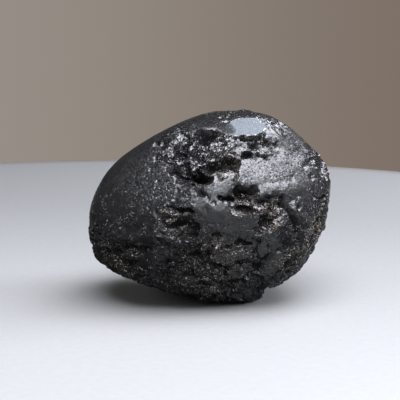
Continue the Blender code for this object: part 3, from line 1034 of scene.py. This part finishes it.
@dataclass
class Tektite:
    """The whole stone: an egg that wear, knocks and etching have shaped."""

    half_length: float = 29.2 * MM
    half_depth: float = 22.0 * MM
    half_height: float = 21.6 * MM
    long_axis_rise: float = 13.0
    resting_drop: float = 20.6 * MM

    swell: Unevenness = Unevenness(0.35 * MM, 13.0 * MM, (3.1, 0.7, 5.2))
    ripple: Unevenness = Unevenness(0.08 * MM, 2.4 * MM, (4.2, 2.1, 9.6))
    crumple: Unevenness = Unevenness(0.03 * MM, 0.9 * MM, (6.1, 3.3, 1.6))
    ragged: Unevenness = Unevenness(0.7 * MM, 3.0 * MM, (7.3, 1.9, 4.4))
    fine_ragged: Unevenness = Unevenness(0.2 * MM, 1.0 * MM, (2.2, 5.4, 8.1))
    stray: Unevenness = Unevenness(0.9 * MM, 2.6 * MM)
    fine_stray: Unevenness = Unevenness(0.22 * MM, 0.8 * MM)
    flakes: Flaking = Flaking(3.6 * MM, 0.9, 0.5, 0.25 * MM)
    chips: Flaking = Flaking(1.5 * MM, 1.2, 0.25, 0.15 * MM)

    pecks: int = 700
    peck_seed: int = 5
    peck_widths: tuple[float, float] = (0.5 * MM, 1.7 * MM)
    peck_steepness: float = 0.28
    wide_peck_rarity: int = 3
    weathering: float = 0.8
    weather_line: float = 3.0 * MM
    weather_fade: float = 10.0 * MM
    hollow_rounds: int = 60
    hollow_depth: float = 0.5 * MM
    fresh_evenness: float = 0.9
    cuts: int = 127
    toward_front: float = 0.2
    sharp_edge: float = 34.0

    def ball(self) -> bmesh.types.BMesh:
        """Makes a ball of unit radius, of quads that are finest at the front.

        Returns:
            The ball's mesh.
        """
        ball = bmesh.new()
        bmesh.ops.create_cube(ball, size=2.0)
        bmesh.ops.subdivide_edges(ball, edges=ball.edges, cuts=self.cuts, use_grid_fill=True)
        for corner in ball.verts:
            even = (math.tan(0.25 * math.pi * part) for part in corner.co)
            corner.co = Vector(even).normalized()
            corner.co.y -= self.toward_front
            corner.co.normalize()
        return ball

    def egg(self, rays: np.ndarray) -> np.ndarray:
        """Works out the unworn egg.

        Args:
            rays: Unit rays from the egg's middle.

        Returns:
            How far its skin is along each ray.
        """
        rise = math.radians(self.long_axis_rise)
        along = rays[:, 0] * math.cos(rise) + rays[:, 2] * math.sin(rise)
        across = rays[:, 2] * math.cos(rise) - rays[:, 0] * math.sin(rise)
        spread = (along / self.half_length) ** 2 + (rays[:, 1] / self.half_depth) ** 2
        return (spread + (across / self.half_height) ** 2) ** -0.5

    def worn(self, rays: np.ndarray) -> tuple[Skin, np.ndarray]:
        """Wears and strikes the egg.

        Args:
            rays: Unit rays from the egg's middle.

        Returns:
            The skin, and how clear it is at each corner.
        """
        skin = Skin(rays, self.egg(rays))
        for flat in WORN_FLATS.values():
            skin.grind(flat)
        skin.radius = skin.radius + self.swell.over(skin.points)
        clear = np.zeros(len(rays))
        for facet in STRUCK_FACETS.values():
            clear = np.maximum(clear, skin.strike(facet))
        return skin, clear

    def pecked(self, skin: Skin, points: np.ndarray) -> np.ndarray:
        """Scatters small round pits over the whole stone.

        Args:
            skin: The skin.
            points: Its strayed corners.

        Returns:
            How deep they are at each corner.
        """
        chance = np.random.default_rng(self.peck_seed)
        depth = np.zeros(len(points))
        for _ in range(self.pecks):
            ray = chance.normal(size=3)
            middle = skin.points[np.argmax(skin.rays @ (ray / np.linalg.norm(ray)))]
            size = chance.random() ** self.wide_peck_rarity
            width = self.peck_widths[0] + np.ptp(self.peck_widths) * size
            away = np.linalg.norm(points - middle, axis=1)
            bowl = np.clip(1.0 - (2.0 * away / width) ** 2, 0.0, 1.0)
            depth = np.maximum(depth, self.peck_steepness * width * bowl)
        return depth

    def etched(self, skin: Skin, clear: np.ndarray, edges: np.ndarray) -> dict[str, np.ndarray]:
        """Etches the worn skin. It strays the corners, so that no edge is round or straight.

        Args:
            skin: The skin, which this changes.
            clear: How clear it is at each corner. Clear glass is etched less.
            edges: The two corners of each of its edges.

        Returns:
            What the glass needs to know at each corner, by name.
        """
        points = skin.points
        stray = self.stray.wander(points) + self.fine_stray.wander(points)
        strayed = points + stray - skin.rays * (stray * skin.rays).sum(axis=1)[:, None]
        sunk = sum(skin.oval(oval, strayed) for oval in [*LUMPS.values(), *PITS.values()])
        sunk = sunk + sum(skin.crack(crack, strayed) for crack in CRACKS.values())
        torn = np.abs(self.ragged.over(points)) + np.abs(self.fine_ragged.over(points))
        torn += flaked(strayed, self.flakes) + flaked(strayed, self.chips)
        weathered = smooth_step((self.weather_line - points[:, 2]) / self.weather_fade)
        rough = np.maximum(skin.spread(ROUGH, strayed), self.weathering * weathered)
        rough = rough * (1.0 - clear)
        sunk += torn * rough
        uneven = self.ripple.over(points) + self.crumple.over(points)
        uneven *= 1.0 - self.fresh_evenness * clear
        pecks = self.pecked(skin, strayed) * (1.0 - clear**2)
        soiled = skin.spread(SOILED, strayed)
        sheen = skin.spread(SHEEN, strayed)
        skin.radius = skin.radius - sunk - pecks - uneven
        cavity = eased(skin.radius, edges, self.hollow_rounds) - skin.radius
        return {
            "ragged": rough,
            "hollow": np.clip(cavity / self.hollow_depth, 0.0, 1.0),
            "soiled": soiled,
            "clear": clear,
            "sheen": sheen,
            "dull_and_shaded": skin.spread(DULL_AND_SHADED, strayed),
            "calm": skin.spread(CALM, strayed),
        }

    def set_down(self, skin: Skin) -> np.ndarray:
        """Wears the resting flat and sets the stone down on it.

        Args:
            skin: The finished skin, which this changes.

        Returns:
            The skin's corners in the solid's frame.
        """
        skin.radius = np.minimum(skin.radius, skin.plane(facing((0, -90)), self.resting_drop))
        points = skin.points
        low, high = (np.array(corner) for corner in CAD_BOX)
        middle = 0.5 * (points.min(axis=0) + points.max(axis=0))
        points[:, :2] += 0.5 * (low + high)[:2] - middle[:2]
        points[:, 2] += self.resting_drop
        return points

    def build(self) -> bpy.types.Object:
        """Makes the stone, in place.

        Returns:
            The finished piece.
        """
        ball = self.ball()
        rays = np.array([corner.co for corner in ball.verts])
        skin, clear = self.worn(rays)
        edges = np.array([[corner.index for corner in edge.verts] for edge in ball.edges])
        marks = self.etched(skin, clear, edges)
        for corner, point in zip(ball.verts, self.set_down(skin)):
            corner.co = point
        mesh = bpy.data.meshes.new("tektite_skin")
        bmesh.ops.recalc_face_normals(ball, faces=ball.faces)
        ball.to_mesh(mesh)
        ball.free()
        mesh.shade_smooth()
        mesh.set_sharp_from_angle(angle=math.radians(self.sharp_edge))
        for name, values in marks.items():
            mesh.attributes.new(name, "FLOAT", "POINT").data.foreach_set("value", values)
        mesh.materials.append(TektiteGlass().material())
        piece = bpy.data.objects.new("tektite_skin", mesh)
        bpy.context.scene.collection.objects.link(piece)
        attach(piece, "root")
        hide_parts("tektite")
        return piece


# The studio.


class Use(Enum):
    """What a lamp does: whether it lights matt things, and whether gloss shows it."""

    LIGHT = (True, True)
    FILL = (True, False)
    CARD = (False, True)


@dataclass(frozen=True)
class Lamp:
    """A soft lamp: a flat panel, equally bright from everywhere in front of it."""

    name: str
    place: Place
    size: tuple[float, float]
    brightness: float
    tint: tuple[float, float, float]
    use: Use = Use.CARD

    def light(self, target: Vector) -> None:
        """Hangs the lamp.

        Args:
            target: The point that it is turned to.
        """
        data = bpy.data.lights.new(self.name, "AREA")
        data.shape = "RECTANGLE"
        data.size, data.size_y = self.size
        data.energy = self.brightness * math.pi * self.size[0] * self.size[1]
        data.color = self.tint
        lamp = bpy.data.objects.new(self.name, data)
        lamp.location = self.place
        lamp.rotation_euler = (target - Vector(self.place)).to_track_quat("-Z", "Y").to_euler()
        lamp.visible_diffuse, lamp.visible_glossy = self.use.value
        bpy.context.scene.collection.objects.link(lamp)


@dataclass
class Studio:
    """A round pale table in a plain warm grey room, with soft lamps and a camera."""

    table_radius: float = 200 * MM
    table_middle: tuple[float, float] = (-32.5 * MM, 25 * MM)
    table_sides: int = 256
    room_left: Colour = (0.318, 0.282, 0.250, 1.0)
    room_right: Colour = (0.195, 0.154, 0.128, 1.0)
    across_step: Step = (-0.28, 0.28)
    room_above: Colour = (0.060, 0.056, 0.054, 1.0)
    above_step: Step = (0.02, 0.15)
    lens: float = 100.0
    sensor: float = 36.0
    nearest_shown: float = 10 * MM
    camera_elevation: float = 10.0
    pixels: float = 400.0
    pixels_per_mm: float = 4.4
    egg_pixel: tuple[float, float] = (209.0, 207.5)
    lamps: tuple[Lamp, ...] = (
        Lamp("softbox", (0.1, -0.12, 0.48), (0.7, 0.36), 23.0, (0.9, 0.905, 1.0), Use.LIGHT),
        Lamp("right fill", (0.6, 0.08, 0.27), (0.3, 0.3), 44.0, (0.91, 0.92, 1.0), Use.FILL),
        Lamp("left fill", (-0.6, -0.1, 0.3), (0.3, 0.3), 6.0, (0.95, 0.93, 0.95), Use.FILL),
        Lamp("skylight", (0.18, 0.27, 0.72), (0.18, 0.18), 8.3, (0.73, 0.84, 1.0)),
        Lamp("side card", (0.4, 0.36, 0.66), (0.26, 0.26), 22.0, (0.9, 0.93, 1.0)),
        Lamp("front card", (0.04, -0.33, 0.3), (0.28, 0.2), 11.0, (0.86, 0.9, 1.0)),
        Lamp("low card", (0.06, -0.38, 0.12), (0.34, 0.18), 4.2, (0.9, 0.92, 1.0)),
        Lamp("top card", (-0.17, 0.03, 0.62), (0.22, 0.18), 11.0, (0.92, 0.94, 1.0)),
        Lamp("left card", (-0.3, -0.14, 0.34), (0.18, 0.18), 3.0, (0.9, 0.92, 1.0)),
    )

    def table(self) -> None:
        """Makes the table top, level with the stone's resting flat."""
        disc = bmesh.new()
        sides, radius = self.table_sides, self.table_radius
        bmesh.ops.create_circle(disc, cap_ends=True, segments=sides, radius=radius)
        bmesh.ops.translate(disc, verts=disc.verts, vec=(*self.table_middle, 0.0))
        mesh = bpy.data.meshes.new("table")
        disc.to_mesh(mesh)
        disc.free()
        mesh.materials.append(PaleTable().material())
        top = bpy.data.objects.new("table", mesh)
        bpy.context.scene.collection.objects.link(top)

    def room(self) -> None:
        """Lights the room: warm grey, darker to the right."""
        world = bpy.data.worlds.new("room")
        world.use_nodes = True
        graph = Graph(world.node_tree, "Generated")
        across = graph.node("ShaderNodeSeparateXYZ", {"Vector": graph.place}, "X")
        wall = graph.mix(across.rise(*self.across_step), self.room_left, self.room_right)
        height = across.beside("Z")
        wall = graph.mix(height.rise(*self.above_step), wall, self.room_above)
        glow = graph.node("ShaderNodeBackground", {"Color": wall})
        graph.add("ShaderNodeOutputWorld", {"Surface": glow})
        bpy.context.scene.world = world

    def camera(self, egg_middle: Vector) -> None:
        """Sets up the camera.

        Args:
            egg_middle: The middle of the egg.
        """
        data = bpy.data.cameras.new("camera")
        data.lens, data.sensor_width = self.lens, self.sensor
        data.clip_start = self.nearest_shown
        rise = math.radians(self.camera_elevation)
        ahead = Vector((0.0, math.cos(rise), -math.sin(rise)))
        upward = Vector((0.0, math.sin(rise), math.cos(rise)))
        shown = self.pixels / self.pixels_per_mm * MM
        distance = shown * self.lens / self.sensor
        right = (0.5 * self.pixels - self.egg_pixel[0]) / self.pixels * shown
        down = (self.egg_pixel[1] - 0.5 * self.pixels) / self.pixels * shown
        target = egg_middle + Vector((right, 0.0, 0.0)) + upward * down
        camera = bpy.data.objects.new("camera", data)
        camera.location = target - ahead * distance
        camera.rotation_euler = ahead.to_track_quat("-Z", "Y").to_euler()
        bpy.context.scene.collection.objects.link(camera)
        bpy.context.scene.camera = camera

    def build(self, egg_middle: Vector) -> None:
        """Sets the whole studio up round the stone.

        Args:
            egg_middle: The middle of the egg.
        """
        self.table()
        self.room()
        for lamp in self.lamps:
            lamp.light(egg_middle)
        self.camera(egg_middle)
        bpy.context.scene.view_settings.view_transform = "Standard"


def main() -> None:
    """Builds the stone and the studio round it."""
    logging.basicConfig(level=logging.INFO, format="%(name)s: %(message)s")
    stone = Tektite()
    piece = stone.build()
    log.info("%s: %d faces", piece.name, len(piece.data.polygons))
    studio = Studio()
    studio.build(Vector((0.0, 0.0, stone.resting_drop)))
    log.info("studio: %d lamps", len(studio.lamps))


if __name__ == "__main__":
    main()
